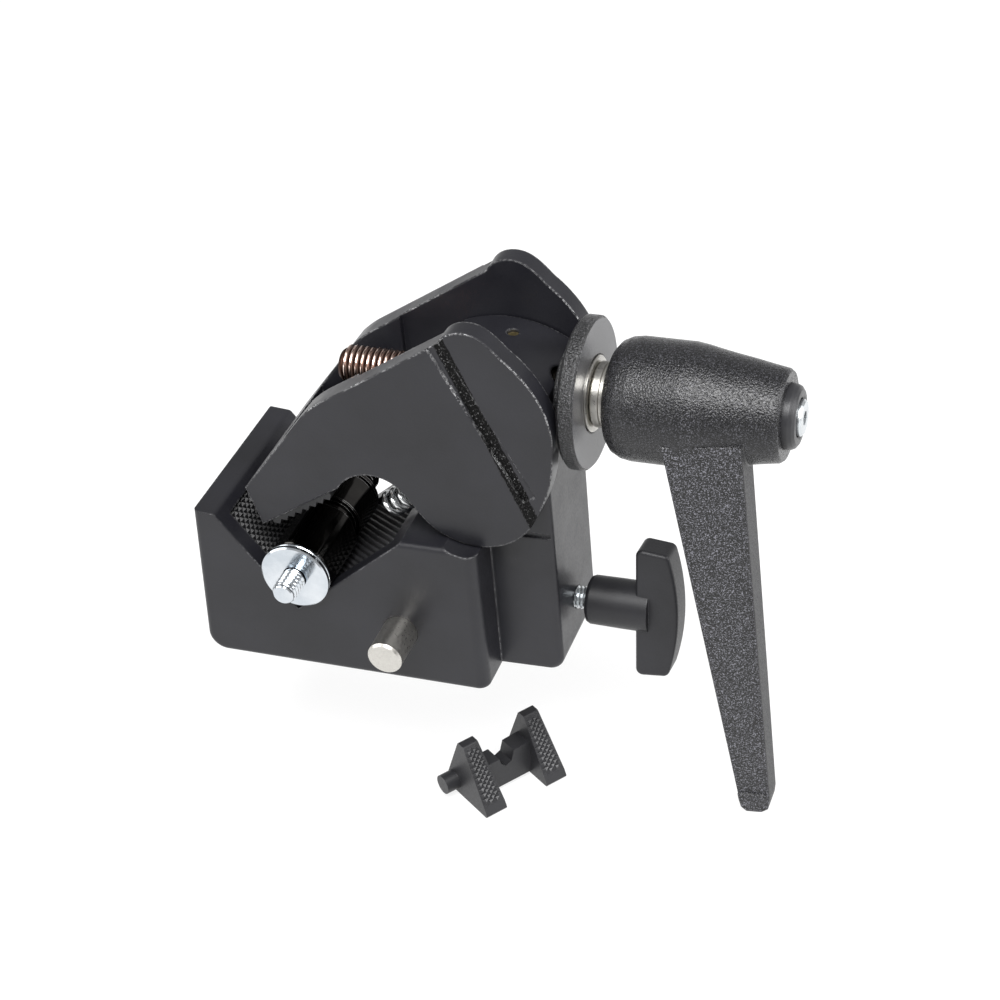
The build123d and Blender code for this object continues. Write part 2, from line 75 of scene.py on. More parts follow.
STUD_FACETS = 40
WELD = 1e-6

# Knurls
PAD_KNURL_HEIGHT = 0.62 * MM
PAD_KNURL_SPACING = 1.05 * MM
PAD_DEPTH = 1.1 * MM
WEDGE_KNURL_HEIGHT = 0.5 * MM
WEDGE_KNURL_SPACING = 0.8 * MM
WEDGE_FOOT_MARGIN = 1.98 * MM
WEDGE_TOP_MARGIN = 0.27 * MM
WEDGE_FIELD_SHRINK = 0.985
WEDGE_FIELD_LIFT = 0.02 * MM
WEDGE_SLOPE_AREA = 40e-6
WEDGE_SLOPE_LEAN = (0.25, 0.75)

# Noise scales, in features per metre
CLOUD_SCALE = 38.0
HANDLED_SCALE = 110.0
PEEL_SCALE = 1500.0
CAST_SCALE = 1700.0
CAST_GLINT_SCALE = 2600.0
RAGGED_SCALE = 600.0
WEAR_SPECK_SCALE = 1500.0
WEAR_PATCH_SCALE = 95.0
LEVER_GRAIN_SCALE = 2100.0
RIM_GRAIN_SCALE = 2300.0
RIM_SPECK_SCALE = 3000.0
TURNED_SCALE = 500.0
POLISH_SCALE = 1400.0
STAIN_SCALE = 140.0
ZINC_PATCH_SCALE = 150.0
SCUFF_SCALE = 900.0
MOULD_CLOUD_SCALE = 70.0
GRIME_SCALE = 350.0

# Looks
PAINT_GLOSS = 0.42
WORN_SHINE = 0.12
WORN_METAL = 0.9
BODY_BLACK = (0.0085, 0.0085, 0.0110)
JAW_BLACK = (0.0080, 0.0080, 0.0105)
LEVER_BLACK = (0.007, 0.007, 0.0080)
FLANGE_GREY = (0.030, 0.030, 0.032)
PAD_BLACK = (0.009, 0.009, 0.010)
KNOB_BLACK = (0.0095, 0.0095, 0.0115)
CAP_GREY = (0.018, 0.018, 0.020)
WEDGE_GREY = (0.016, 0.016, 0.018)
BODY_WORN = (0.55, 0.55, 0.56)
JAW_WORN = (0.7, 0.7, 0.71)
LEVER_WORN = (0.45, 0.45, 0.46)
FLANGE_WORN = (0.6, 0.6, 0.61)
PLASTIC_SCUFF = (0.12, 0.12, 0.125)
SCUFF_AMOUNT = 0.25
MOULDED_EDGE = 0.4 * MM
FINE_EDGE = 0.05 * MM
CAST_DARK = (0.010, 0.010, 0.010)
CAST_GLINT = (0.25, 0.25, 0.25)
TARNISH = (0.3, 0.28, 0.26)
ZINC_DULL = (0.52, 0.56, 0.60)
ZINC_BRIGHT = (0.66, 0.69, 0.72)
# painted shade: darkened plate colours for the stud's hexagon under the jaw
MIRROR_PAINTED_SHADE_DARK = (0.050, 0.048, 0.046)
MIRROR_PAINTED_SHADE_PALE = (0.075, 0.072, 0.068)
# painted highlight: pale lines along the stud hexagon's edges
RIM_PAINTED_HIGHLIGHT = (0.8, 0.8, 0.8)
COPPER_BRIGHT = (0.86, 0.70, 0.63)
COPPER_DULL = (0.50, 0.33, 0.27)
# painted shade for the thread's grooves
GROOVE_PAINTED_SHADE = (0.045, 0.022, 0.016)
# painted shade for the screw between nut and flange
PAST_NUT_PAINTED_SHADE = (0.02, 0.017, 0.015)

# The sunken band across each cheek of the jaw
BAND_DEPTH = 0.5 * MM
BAND_OUTER = 2.3 * MM
BAND_INNER = 2.0 * MM
BAND_RAGGED = 0.9 * MM
BAND_BUMP = 9.0

# Floor, light and camera
FLOOR_HALF = 3.0
FLOOR_GAP = 0.3 * MM
FLOOR_TONE = (0.22, 0.22, 0.22)
FLOOR_GLOW = 0.80
FLOOR_ROUGH = 0.9
FLOOR_GLOSS = 0.1
WORLD_STRENGTH = 0.45
LIGHT_TARGET = (0.01, 0.0, 0.04)
LIGHTS = (
    ("overhead", (0.2, -0.5, 0.98), (0.8, 0.6), 20.0),
    ("left_side", (-0.9, -0.6, 0.5), (0.7, 0.9), 6.0),
    ("right_side", (0.9, 0.1, 0.5), (0.6, 0.9), 8.0),
)
CAMERA_AZIMUTH = 22.218
CAMERA_ELEVATION = 34.907
CAMERA_ROLL = -5.509
CAMERA_TARGET = (0.0095, 0.0, 0.0417)
CAMERA_DISTANCE = 0.6
CAMERA_LENS = 86.4
CAMERA_SENSOR = 36.0
CAMERA_NEAR = 0.01


# ---- material nodes -----------------------------------------------------------------
class Graph:
    """A small helper round one material's node tree."""

    def __init__(self, name):
        self.material = bpy.data.materials.new(name)
        self.material.use_nodes = True
        self.tree = self.material.node_tree
        self.shader = self.tree.nodes["Principled BSDF"]
        self.coords = self.add("ShaderNodeTexCoord").outputs["Object"]

    def add(self, kind, **settings):
        node = self.tree.nodes.new(kind)
        for key, value in settings.items():
            setattr(node, key, value)
        return node

    def link(self, source, target):
        self.tree.links.new(source, target)

    def feed(self, name, value):
        """Gives one input of the shader a number, a colour or another node's output."""
        socket = self.shader.inputs[name]
        if isinstance(value, (int, float)):
            socket.default_value = value
        elif isinstance(value, tuple):
            socket.default_value = (*value, 1.0)
        else:
            self.link(value, socket)

    def split(self, vector):
        node = self.add("ShaderNodeSeparateXYZ")
        self.link(vector, node.inputs[0])
        return node.outputs["X"], node.outputs["Y"], node.outputs["Z"]

    def noise(self, scale, detail=3.0, rough=0.55, distortion=0.0):
        node = self.add("ShaderNodeTexNoise")
        node.inputs["Scale"].default_value = scale
        node.inputs["Detail"].default_value = detail
        node.inputs["Roughness"].default_value = rough
        node.inputs["Distortion"].default_value = distortion
        self.link(self.coords, node.inputs["Vector"])
        return node.outputs["Fac"]

    def cells(self, scale):
        node = self.add("ShaderNodeTexVoronoi")
        node.inputs["Scale"].default_value = scale
        self.link(self.coords, node.inputs["Vector"])
        return node.outputs["Distance"]

    def ramp(self, value, low, high, out_low=0.0, out_high=1.0):
        node = self.add("ShaderNodeMapRange")
        node.inputs["From Min"].default_value = low
        node.inputs["From Max"].default_value = high
        node.inputs["To Min"].default_value = out_low
        node.inputs["To Max"].default_value = out_high
        self.link(value, node.inputs["Value"])
        return node.outputs["Result"]

    def math(self, operation, a, b=0.0):
        node = self.add("ShaderNodeMath", operation=operation)
        for socket, value in zip(node.inputs, (a, b)):
            if isinstance(value, (int, float)):
                socket.default_value = value
            else:
                self.link(value, socket)
        return node.outputs[0]

    def plus(self, a, b):
        return self.math("ADD", a, b)

    def minus(self, a, b):
        return self.math("SUBTRACT", a, b)

    def times(self, a, b):
        return self.math("MULTIPLY", a, b)

    def mix(self, factor, a, b):
        node = self.add("ShaderNodeMix", data_type="RGBA")
        self.link(factor, node.inputs["Factor"])
        for socket, value in ((node.inputs[6], a), (node.inputs[7], b)):
            if isinstance(value, tuple):
                socket.default_value = (*value, 1.0)
            else:
                self.link(value, socket)
        return node.outputs[2]

    def radius_about_x(self, axis_z):
        """Distance from the line along X at y = 0, z = axis_z, and the position along it."""
        x, y, z = self.split(self.coords)
        across = self.math("POWER", y, 2.0)
        upward = self.math("POWER", self.minus(z, axis_z), 2.0)
        return self.math("SQRT", self.plus(across, upward)), x

    def rounded_normal(self, radius):
        node = self.add("ShaderNodeBevel", samples=4)
        node.inputs["Radius"].default_value = radius
        return node.outputs["Normal"]

    def edges(self, radius, low=0.985, high=0.80):
        """1 on sharp edges, 0 on open faces, from how far a rounded normal leans over."""
        dot = self.add("ShaderNodeVectorMath", operation="DOT_PRODUCT")
        self.link(self.rounded_normal(radius), dot.inputs[0])
        self.link(self.add("ShaderNodeNewGeometry").outputs["Normal"], dot.inputs[1])
        return self.ramp(dot.outputs["Value"], low, high)

    def bump(self, height, distance, soften=None):
        node = self.add("ShaderNodeBump")
        node.inputs["Distance"].default_value = distance
        node.inputs["Strength"].default_value = 1.0
        self.link(height, node.inputs["Height"])
        if soften:
            self.link(self.rounded_normal(soften), node.inputs["Normal"])
        self.feed("Normal", node.outputs["Normal"])


def tinted(colour, factor):
    return tuple(min(1.0, c * factor) for c in colour)


def clouded(g, colour):
    """A broad, faint variation of a paint's tone."""
    cloud = g.ramp(g.noise(CLOUD_SCALE, 5.0), 0.3, 0.7)
    return g.mix(cloud, tinted(colour, 0.7), tinted(colour, 1.4))


def worn_mask(g, radius, wear):
    """Small bright rubs, in patches along the sharp edges."""
    specks = g.ramp(g.noise(WEAR_SPECK_SCALE, 4.0, 0.65), 0.44, 0.58)
    patches = g.ramp(g.noise(WEAR_PATCH_SCALE, 3.0), 0.42, 0.62)
    mask = g.times(g.edges(radius, 0.97, 0.80), specks)
    return g.times(g.times(mask, patches), wear)


def finish_paint(g, tone, rough, height, depth, mask, worn, soften, bare=0.0):
    g.feed("Specular IOR Level", PAINT_GLOSS)
    g.feed("Base Color", g.mix(mask, tone, worn))
    g.feed("Roughness", g.minus(rough, g.times(mask, WORN_SHINE)))
    g.feed("Metallic", g.math("MAXIMUM", g.times(mask, WORN_METAL), bare))
    g.bump(height, depth, soften)
    return g.material


def body_paint(name, colour, rough, depth, wear, soften):
    """Black paint on a casting: cloudy tone, fine orange peel, bare metal on the rubbed edges."""
    g = Graph(name)
    tone = clouded(g, colour)
    fine = g.noise(PEEL_SCALE, 3.0, 0.6)
    handled = g.ramp(g.noise(HANDLED_SCALE, 5.0, 0.7), 0.35, 0.7, -0.03, 0.06)
    shine = g.plus(g.ramp(fine, 0.3, 0.7, rough - 0.04, rough + 0.05), handled)
    height = g.plus(fine, g.times(g.noise(PEEL_SCALE * 0.2, 2.0), 1.2))
    mask = worn_mask(g, soften, wear)
    return finish_paint(g, tone, shine, height, depth, mask, BODY_WORN, soften)


def grained(g, scale):
    """Height of a coarse leathery grain."""
    lumps = g.noise(scale, 2.0, 0.5, distortion=0.6)
    pits = g.ramp(g.cells(scale * 0.9), 0.0, 0.6)
    return g.plus(lumps, g.times(pits, 0.5))


def grained_paint(name, colour, rough, scale, depth, wear, soften):
    """Thick wrinkled paint: fine on the hub, coarse on the blade's broad faces; pale specks in its
    colour are painted glints, brightest on the blade.
    """
    g = Graph(name)
    cap_low, cap_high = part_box("handle_end_cap")
    axis_z = (cap_low.z + cap_high.z) / 2
    low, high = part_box("handle_lever")
    hub_end = high.x - 1.0 * MM
    points = [v.co for v in NODES["handle_lever"].data.vertices]
    hub_radius = high.z - axis_z
    end_radius = max(math.hypot(p.y, p.z - axis_z) for p in points if p.x > hub_end)
    taper_from = low.x + 0.45 * (high.x - low.x)
    radius, along = g.radius_about_x(axis_z)
    hub_skin = g.ramp(along, taper_from, hub_end, hub_radius, end_radius)
    proud = g.minus(radius, hub_skin)
    facing_x, facing_y = g.split(g.add("ShaderNodeTexCoord").outputs["Normal"])[:2]
    broad = g.ramp(g.math("ABSOLUTE", facing_y), 0.6, 0.9)
    blade = g.times(g.ramp(proud, 0.02 * MM, 0.3 * MM), broad)
    height = grained(g, scale)
    # painted glints: pale specks in the colour stand in for sparkle highlights on the grain, faint on
    # the hub and strong on the blade
    specks = g.ramp(g.noise(scale * 1.4, 2.0, 0.6), 0.52, 0.66)
    plain = g.mix(specks, tinted(colour, 0.6), tinted(colour, 7.0))
    coarse_painted_glints = g.mix(specks, tinted(colour, 0.1), tinted(colour, 26.0))
    tone = g.mix(blade, plain, coarse_painted_glints)
    shine = g.ramp(height, 0.5, 1.0, rough + 0.09, rough - 0.08)
    edge_on = g.times(g.ramp(facing_x, 0.8, 0.95), g.ramp(proud, 0.0, 0.5 * MM))
    shine = g.plus(shine, g.times(edge_on, 0.22))
    mask = worn_mask(g, soften, wear)
    return finish_paint(g, tone, shine, height, depth, mask, LEVER_WORN, soften)


def band_line(floor_y):
    """A point on the middle line of the jaw's band, and the direction across it."""
    vertices = NODES["movable_jaw"].data.vertices
    marks = [v.co for v in vertices if abs(v.co.y - floor_y) < 0.01 * MM]
    top = sum(sorted(marks, key=lambda p: -p.z)[:2], Vector()) / 2
    foot = sum(sorted(marks, key=lambda p: p.z)[:2], Vector()) / 2
    return top, Vector((foot.z - top.z, 0, top.x - foot.x)).normalized()


def jaw_paint(name, colour, rough, depth, wear, soften):
    """The body's paint, with a sunken band of rough bare casting across each cheek."""
    g = Graph(name)
    floor_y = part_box("movable_jaw")[1].y - BAND_DEPTH
    top, across = band_line(floor_y)
    x, y, z = g.split(g.coords)
    side = g.plus(g.times(x, across.x), -top.dot(across))
    side = g.plus(side, g.times(z, across.z))
    ragged = g.times(g.noise(RAGGED_SCALE, 3.0), BAND_RAGGED)
    side = g.plus(g.math("ABSOLUTE", side), ragged)
    outer = g.ramp(g.math("ABSOLUTE", y), floor_y - 1.0 * MM, floor_y - 0.5 * MM)
    band = g.times(g.ramp(side, BAND_OUTER, BAND_INNER), outer)
    glints = g.ramp(g.noise(CAST_GLINT_SCALE, 2.0, 0.6), 0.60, 0.74)
    tone = g.mix(band, clouded(g, colour), g.mix(glints, CAST_DARK, CAST_GLINT))
    handled = g.noise(HANDLED_SCALE, 5.0, 0.7)
    shine = g.plus(g.ramp(handled, 0.35, 0.7, rough - 0.04, rough + 0.08), g.times(band, 0.08))
    height = g.times(g.minus(1.0, band), g.noise(PEEL_SCALE, 3.0, 0.6))
    rough_cast = g.times(g.noise(CAST_SCALE, 3.0, 0.7), band)
    height = g.plus(height, g.times(rough_cast, BAND_BUMP))
    mask = worn_mask(g, soften, wear)
    return finish_paint(g, tone, shine, height, depth, mask, JAW_WORN, soften, band)


def flange_paint(name, colour, depth, wear, soften):
    """Grained on the rim with pale specks as painted glints; the smooth, glossier flat faces are
    coloured lighter as a painted reflection.
    """
    g = Graph(name)
    facing_x = g.split(g.add("ShaderNodeNewGeometry").outputs["Normal"])[0]
    flat = g.ramp(g.math("ABSOLUTE", facing_x), 0.75, 0.95)
    height = g.times(grained(g, RIM_GRAIN_SCALE), g.ramp(flat, 0.0, 1.0, 1.0, 0.05))
    # painted glints: pale specks on the rim stand in for sparkle highlights
    specks = g.ramp(g.noise(RIM_SPECK_SCALE, 2.0, 0.6), 0.50, 0.66)
    rim = g.mix(specks, tinted(colour, 0.12), tinted(colour, 2.2))
    # painted reflection: the flat faces get a lighter tone for the pale sheen they reflect
    tone = g.mix(flat, rim, tinted(colour, 2.4))
    turned = g.ramp(g.noise(TURNED_SCALE, 3.0, 0.6), 0.3, 0.7)
    tone = g.mix(g.times(turned, flat), tone, tinted(colour, 1.7))
    shine = g.ramp(flat, 0.0, 1.0, 0.32, 0.26)
    mask = worn_mask(g, soften, wear)
    return finish_paint(g, tone, shine, height, depth, mask, FLANGE_WORN, soften)


def metal(name, colour, rough, stain=0.25):
    """Bare or plated metal: faint polishing marks, stains and duller patches."""
    g = Graph(name)
    marks = g.noise(POLISH_SCALE, 4.0, 0.6)
    patches = g.noise(STAIN_SCALE, 5.0, 0.6)
    dull = g.times(g.ramp(patches, 0.5, 0.75), stain)
    tone = g.mix(g.ramp(marks, 0.35, 0.65), tinted(colour, 0.95), tinted(colour, 1.04))
    shine = g.ramp(marks, 0.3, 0.7, rough * 0.85, rough * 1.2)
    g.feed("Base Color", g.mix(dull, tone, TARNISH))
    g.feed("Roughness", g.plus(shine, g.times(dull, 0.3)))
    g.feed("Metallic", 1.0)
    g.bump(marks, 0.002 * MM)
    return g.material


def stud_plate(name):
    """Bright zinc on the flange and thread; the hexagon behind them is coloured darker as painted
    shade, with a painted highlight along its edges.
    """
    g = Graph(name)
    washer_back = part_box("stud_washer")[1].y
    y = g.split(g.coords)[1]
    behind = g.ramp(y, washer_back - 0.1 * MM, washer_back + 0.3 * MM)
    patches = g.ramp(g.noise(ZINC_PATCH_SCALE, 4.0), 0.35, 0.7)
    zinc = g.mix(patches, ZINC_DULL, ZINC_BRIGHT)
    # painted shade: the hexagon under the jaw gets a dark plate colour for the dark jaw it reflects
    painted_shade_mirror = g.mix(patches, MIRROR_PAINTED_SHADE_DARK, MIRROR_PAINTED_SHADE_PALE)
    deep = g.ramp(y, washer_back + 2.0 * MM, washer_back + 3.0 * MM)
    # painted highlight: pale colour along the hexagon's sharp edges
    rim = g.times(g.edges(0.25 * MM, 0.985, 0.9), deep)
    g.feed("Base Color", g.mix(rim, g.mix(behind, zinc, painted_shade_mirror), RIM_PAINTED_HIGHLIGHT))
    g.feed("Roughness", g.ramp(behind, 0.0, 1.0, 0.15, 0.12))
    g.feed("Metallic", 1.0)
    g.bump(g.noise(POLISH_SCALE, 4.0, 0.6), 0.003 * MM)
    return g.material


def plastic(name, colour, rough, grain, depth, soften):
    """Moulded plastic: fine spark texture, paler where the edges are scuffed."""
    g = Graph(name)
    fine = g.noise(grain, 2.0, 0.5)
    cloud = g.ramp(g.noise(MOULD_CLOUD_SCALE, 3.0), 0.3, 0.7)
    tone = g.mix(cloud, tinted(colour, 0.75), tinted(colour, 1.3))
    scuff = g.times(g.edges(soften), g.ramp(g.noise(SCUFF_SCALE, 4.0), 0.42, 0.62))
    g.feed("Specular IOR Level", PAINT_GLOSS)
    g.feed("Base Color", g.mix(g.times(scuff, SCUFF_AMOUNT), tone, PLASTIC_SCUFF))
    g.feed("Roughness", g.ramp(fine, 0.3, 0.7, rough - 0.05, rough + 0.08))
    g.bump(fine, depth, soften)
    return g.material


def coppered(name):
    """A coppery thread, bright on the crests, with painted shade: dark in the grooves and past the nut.
    """
    g = Graph(name)
    low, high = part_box("main_screw")
    crest = (high.z - low.z) / 2
    radius, along = g.radius_about_x((low.z + high.z) / 2)
    # painted shade: the thread's grooves are coloured dark
    crest_mask = g.ramp(radius, crest - MAIN_DEPTH + 0.15 * MM, crest - 0.1 * MM)
    grime = g.ramp(g.noise(GRIME_SCALE, 4.0), 0.3, 0.75)
    nut_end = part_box("screw_nut")[1].x
    # painted shade: the screw past the nut, under the jaw's cheeks, is coloured dark
    shaded_past_nut = g.ramp(along, nut_end + 1.0 * MM, nut_end + 3.0 * MM)
    tone = g.mix(crest_mask, GROOVE_PAINTED_SHADE, g.mix(grime, COPPER_BRIGHT, COPPER_DULL))
    g.feed("Base Color", g.mix(shaded_past_nut, tone, PAST_NUT_PAINTED_SHADE))
    g.feed("Roughness", g.ramp(crest_mask, 0.0, 1.0, 0.5, 0.2))
    g.feed("Metallic", 1.0)
    g.bump(g.noise(PEEL_SCALE, 3.0), 0.01 * MM)
    return g.material


def make_materials():
    """One material for each material slot of the record."""
    grain = LEVER_GRAIN_SCALE
    return {
        "body_paint": body_paint("body_paint", BODY_BLACK, 0.34, 0.012 * MM, 0.35, 0.8 * MM),
        "jaw_paint": jaw_paint("jaw_paint", JAW_BLACK, 0.34, 0.03 * MM, 1.0, 0.8 * MM),
        "pad_plastic": plastic("pad_plastic", PAD_BLACK, 0.38, 2500.0, 0.006 * MM, FINE_EDGE),
        "spring_steel": metal("spring_steel", (0.78, 0.79, 0.80), 0.2),
        "brass": metal("brass", (0.30, 0.24, 0.11), 0.4, stain=0.5),
        "plain_steel": metal("plain_steel", (0.42, 0.42, 0.43), 0.35),
        "flange_paint": flange_paint("flange_paint", FLANGE_GREY, 0.22 * MM, 0.5, 0.5 * MM),
        "coppered_screw": coppered("coppered_screw"),
        "nickel": metal("nickel", (0.56, 0.545, 0.51), 0.30),
        "zinc": metal("zinc", (0.62, 0.65, 0.67), 0.28),
        "lever_paint": grained_paint("lever_paint", LEVER_BLACK, 0.31, grain, 0.15 * MM, 0.4, 0.7 * MM),
        "knob_plastic": plastic("knob_plastic", KNOB_BLACK, 0.42, 2200.0, 0.02 * MM, MOULDED_EDGE),
        "cap_plastic": plastic("cap_plastic", CAP_GREY, 0.33, 2600.0, 0.01 * MM, MOULDED_EDGE),
        "chrome": stud_plate("chrome"),
        "wedge_plastic": plastic("wedge_plastic", WEDGE_GREY, 0.42, 1800.0, 0.01 * MM, FINE_EDGE),
    }


# ---- mesh helpers -----------------------------------------------------------------
def add_mesh(name, verts, faces, replaces, angle):
    mesh = bpy.data.meshes.new(name)
    mesh.from_pydata([tuple(v) for v in verts], [], faces)
    mesh.update()
    bm = bmesh.new()
    bm.from_mesh(mesh)
    bmesh.ops.remove_doubles(bm, verts=bm.verts, dist=1e-7)
    bmesh.ops.recalc_face_normals(bm, faces=bm.faces)
    bm.to_mesh(mesh)
    bm.free()
    place_mesh(name, mesh, replaces, angle)


def place_mesh(name, mesh, replaces, angle):
    """Adds a mesh in place of a CAD node, with edges over the angle (degrees) kept sharp."""
    if mesh.has_custom_normals:
        mesh.attributes.remove(mesh.attributes["custom_normal"])
    mesh.polygons.foreach_set("use_smooth", [True] * len(mesh.polygons))
    mesh.set_sharp_from_angle(angle=math.radians(angle))
    obj = bpy.data.objects.new(name, mesh)
    bpy.context.scene.collection.objects.link(obj)
    slot = SLOT_OF[replaces]
    obj.data.materials.clear()
    obj.data.materials.append(MATERIALS[slot])
    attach(obj, BODY_OF[replaces])
    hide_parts(replaces)


def opened_copy(node):
    """A CAD node's mesh, copied and opened for editing with its seams welded."""
    mesh = NODES[node].data.copy()
    bm = bmesh.new()
    bm.from_mesh(mesh)
    bmesh.ops.remove_doubles(bm, verts=bm.verts, dist=WELD)
    return mesh, bm


def add_faces(bm, verts, faces):
    added = [bm.verts.new(v) for v in verts]
    for face in faces:
        bm.faces.new([added[i] for i in face])


def swept_rounds(rows, count, place):
    """Closed skin over rows of radii: each row is a position along the axis and a radius function."""
    verts = []
    faces = []
    for position, radius in rows:
        for i in range(count):
            a = 2 * math.pi * i / count
            verts.append(place(position, radius(a), a))
    for r in range(len(rows) - 1):
        for i in range(count):
            j = (i + 1) % count
            faces.append((r * count + i, r * count + j, (r + 1) * count + j, (r + 1) * count + i))
    faces.append(tuple(range(count)))
    last = (len(rows) - 1) * count
    faces.append(tuple(last + i for i in reversed(range(count))))
    return verts, faces


def thread_rows(start, end, crest, root, pitch):
    """Rows of a right-handed thread with narrow flat crests and roots, run out at both ends."""
    rows = []
    count = int(round((end - start) / pitch * ROWS_PER_PITCH))
    for r in range(count + 1):
        position = start + (end - start) * r / count
        edge = min(position - start, end - position) / (pitch * RUN_OUT_PITCHES)
        reach = max(0.0, min(1.0, edge))

        def radius(a, position=position, reach=reach):
            phase = (position / pitch - a / (2 * math.pi)) % 1.0
            rise = abs(phase - 0.5) * 2.0
            share = max(0.0, min(1.0, (rise - THREAD_FLAT) / THREAD_RISE))
            return root + (crest - root) * reach * share

        rows.append((position, radius))
    return rows


def fixed_row(position, radius):
    return (position, lambda a: radius)


def along_x(z):
    return lambda s, r, a: (s, r * math.cos(a), z + r * math.sin(a))


def along_y(x, z):
    return lambda s, r, a: (x + r * math.sin(a), s, z + r * math.cos(a))


# ---- threads ------------------------------------------------------------------------
def build_main_screw():
    low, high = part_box("main_screw")
    crest = (high.z - low.z) / 2
    root = crest - MAIN_DEPTH
    gear_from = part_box("index_gear")[0].x
    thread_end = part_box("thrust_flange")[0].x - 1.0 * MM
    rows = [fixed_row(low.x + depth, radius) for depth, radius in MAIN_CENTRE_HOLE]
    rows.append(fixed_row(low.x, root - 0.5 * MM))
    rows += thread_rows(low.x + 0.6 * MM, thread_end, crest, root, MAIN_PITCH)
    rows += [fixed_row(thread_end + 0.1 * MM, crest), fixed_row(gear_from, crest)]
    rows += [fixed_row(gear_from, MAIN_CORE), fixed_row(high.x, MAIN_CORE)]
    verts, faces = swept_rounds(rows, MAIN_FACETS, along_x((low.z + high.z) / 2))
    add_mesh("main_screw_threaded", verts, faces, "main_screw", 50.0)


def build_knob_screw():
    low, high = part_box("knob_screw")
    crest = (high.z - low.z) / 2
    root = crest - KNOB_DEPTH
    rows = [fixed_row(low.x, root - 0.4 * MM)]
    rows += thread_rows(low.x + 0.4 * MM, high.x, crest, root, KNOB_PITCH)
    verts, faces = swept_rounds(rows, KNOB_FACETS, along_x((low.z + high.z) / 2))
    add_mesh("knob_screw_threaded", verts, faces, "knob_screw", 50.0)


def build_stud():
    """The CAD stud with its two plain ends cut off, and threaded ends in their place."""
    low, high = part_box("stud")
    washer_low, washer_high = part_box("stud_washer")
    x = (washer_low.x + washer_high.x) / 2
    z = (washer_low.z + washer_high.z) / 2
    front_end = washer_low.y - STUD_SHOULDER
    back_end = high.y - STUD_BACK_LENGTH
    mesh, bm = opened_copy("stud")
    plain = []
    for face in bm.faces:
        c = face.calc_center_median()
        off = math.hypot(c.x - x, c.z - z)
        at_front = max(v.co.y for v in face.verts) < front_end + 0.1 * MM
        at_back = min(v.co.y for v in face.verts) > back_end - 0.1 * MM
        on_front = at_front and off < STUD_FRONT_RADIUS * 1.02
        on_back = at_back and off < STUD_BACK_RADIUS * 1.02
        if on_front or on_back:
            plain.append(face)
    bmesh.ops.delete(bm, geom=plain, context="FACES")

    root = STUD_FRONT_RADIUS - STUD_DEPTH_PER_PITCH * STUD_FRONT_PITCH
    rows = [fixed_row(low.y, root - 0.3 * MM)]
    start, end = low.y + 0.3 * MM, front_end + 0.2 * MM
    rows += thread_rows(start, end, STUD_FRONT_RADIUS, root, STUD_FRONT_PITCH)
    add_faces(bm, *swept_rounds(rows, STUD_FACETS, along_y(x, z)))

    root = STUD_BACK_RADIUS - STUD_DEPTH_PER_PITCH * STUD_BACK_PITCH
    start, end = back_end - 0.2 * MM, high.y - 0.3 * MM
    rows = thread_rows(start, end, STUD_BACK_RADIUS, root, STUD_BACK_PITCH)
    rows.append(fixed_row(high.y, root - 0.3 * MM))
    add_faces(bm, *swept_rounds(rows, STUD_FACETS, along_y(x, z)))

    bmesh.ops.recalc_face_normals(bm, faces=bm.faces)
    bm.to_mesh(mesh)
    bm.free()
    place_mesh("stud_threaded", mesh, "stud", 28.0)


# ---- knurls --------------------------------------------------------------------------
def knurl_grid(corners, normal, height, spacing, verts, faces, net=False):
    """Separate points, or a net of ridges, over the quad corners[0..3]; its border stays level."""
    c00, c10, c11, c01 = corners
    across = max(2, 2 * round(((c10 - c00).length + (c11 - c01).length) / 4 / spacing))
    along = max(2, 2 * round((c01 - c00).length / 2 / spacing))
    first = len(verts)
    for j in range(along + 1):
        v = j / along
        left = c00.lerp(c01, v)
        right = c10.lerp(c11, v)
        for i in range(across + 1):
            rim = i in (0, across) or j in (0, along)
            lift = height if (i + j) % 2 and not rim else 0.0
            verts.append(left.lerp(right, i / across) + normal * lift)
    row = across + 1
    for j in range(along):
        for i in range(across):
            a = first + j * row + i
            b, c, d = a + 1, a + row + 1, a + row
            if ((i + j) % 2 == 1) != net:
                faces += [(a, b, d), (b, c, d)]
            else:
                faces += [(a, b, c), (a, c, d)]
    return first, row, along


def slab_sides(node):
    """The sides of a slab's outline seen along Y, found from its own mesh."""
    seen = {}
    for v in NODES[node].data.vertices:
        seen[(round(v.co.x, 5), round(v.co.z, 5))] = Vector((v.co.x, 0, v.co.z))
    points = list(seen.values())
    middle = sum(points, Vector()) / len(points)
    points.sort(key=lambda p: math.atan2(p.z - middle.z, p.x - middle.x))
    return [(p, points[(i + 1) % len(points)]) for i, p in enumerate(points)]


def build_pad(node):
    low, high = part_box(node)
    long_sides = sorted(slab_sides(node), key=lambda s: -(s[1] - s[0]).length)[:2]
    upper = max(long_sides, key=lambda s: (s[0] + s[1]).z)
    lower = min(long_sides, key=lambda s: (s[0] + s[1]).z)
    start, end = upper
    direction = (end - start).normalized()
    normal = ((upper[0] + upper[1]) - (lower[0] + lower[1])).normalized()
    normal = (normal - direction * normal.dot(direction)).normalized()
    near = Vector((0, low.y, 0))
    far = Vector((0, high.y, 0))
    base = [start - normal * PAD_KNURL_HEIGHT, end - normal * PAD_KNURL_HEIGHT]
    corners = (base[0] + near, base[1] + near, base[1] + far, base[0] + far)
    verts, faces = [], []
    first, row, along = knurl_grid(corners, normal, PAD_KNURL_HEIGHT, PAD_KNURL_SPACING, verts, faces)
    ring = [first + i for i in range(row)]
    ring += [first + j * row + row - 1 for j in range(1, along + 1)]
    ring += [first + along * row + i for i in range(row - 2, -1, -1)]
    ring += [first + j * row for j in range(along - 1, 0, -1)]
    under = len(verts)
    for index in ring:
        verts.append(verts[index] - normal * PAD_DEPTH)
    size = len(ring)
    for i in range(size):
        j = (i + 1) % size
        faces.append((ring[i], ring[j], under + j, under + i))
    faces.append(tuple(under + i for i in range(size)))
    add_mesh(node + "_knurled", verts, faces, node, 10.0)


